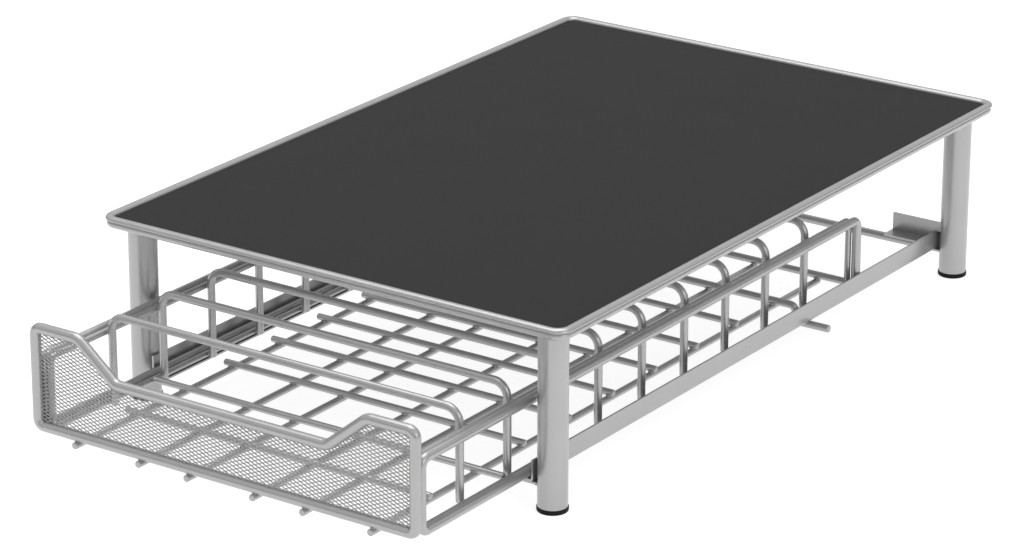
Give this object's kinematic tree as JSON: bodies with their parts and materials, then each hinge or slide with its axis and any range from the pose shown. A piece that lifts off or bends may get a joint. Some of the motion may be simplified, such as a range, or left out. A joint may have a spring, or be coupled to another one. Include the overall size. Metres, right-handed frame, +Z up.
{
  "type": "coffee pod drawer",
  "caption": "Low steel stand with a pull-out wire drawer for coffee pods, mesh front, divider wires and a flat matte top for a coffee maker.",
  "frame": {"origin": "middle of the whole object's footprint at the surface it stands on, with the drawer drawn out 72.3 mm as in the picture", "axes": "+X to the right seen from the front, +Y to the rear, +Z up; the drawer opens towards -Y"},
  "size_m": [0.3, 0.5386, 0.106],
  "materials": {
    "mat": "matte, fine even grain",
    "rim": "satin silver powder coat",
    "leg": "satin silver powder coat",
    "rail": "satin silver powder coat",
    "wire": "satin silver powder coat",
    "mesh": "satin silver powder coat",
    "foot": "matte moulded"
  },
  "bodies": {
    "stand": {"top_mat": "mat", "deck_plate": "rim", "rim_upper_bead": "rim", "rim_lower_bead": "rim", "leg_front_left": "leg", "foot_front_left": "foot", "leg_front_right": "leg", "foot_front_right": "foot", "leg_rear_left": "leg", "foot_rear_left": "foot", "leg_rear_right": "leg", "foot_rear_right": "foot", "rail_bracket_front_left": "rail", "rail_bracket_front_right": "rail", "rail_bracket_rear_left": "rail", "rail_bracket_rear_right": "rail", "rail_wall_left": "rail", "rail_wall_right": "rail", "rail_floor_left": "rail", "rail_floor_right": "rail", "rear_cross_bar": "rail", "rear_stop_left": "rail", "rear_stop_right": "rail"},
    "drawer": {"front_frame": "wire", "front_mesh": "mesh", "side_loop_left": "wire", "side_loop_right": "wire", "inner_loop_left": "wire", "inner_loop_right": "wire", "divider_1": "wire", "divider_2": "wire", "divider_3": "wire", "divider_4": "wire", "divider_5": "wire", "divider_6": "wire", "divider_7": "wire", "divider_8": "wire", "divider_9": "wire", "floor_wire_1": "wire", "floor_wire_2": "wire", "floor_wire_3": "wire", "floor_wire_4": "wire", "floor_wire_5": "wire", "floor_wire_6": "wire", "short_cross_wires": "wire", "long_cross_wire": "wire", "hook_wire": "wire", "back_bar": "wire"}
  },
  "joints": [
    {"name": "drawer_slide", "type": "slide", "parent": "stand", "child": "drawer", "axis": [0, -1, 0], "range_m": [-0.0723, 0.2645]}
  ]
}
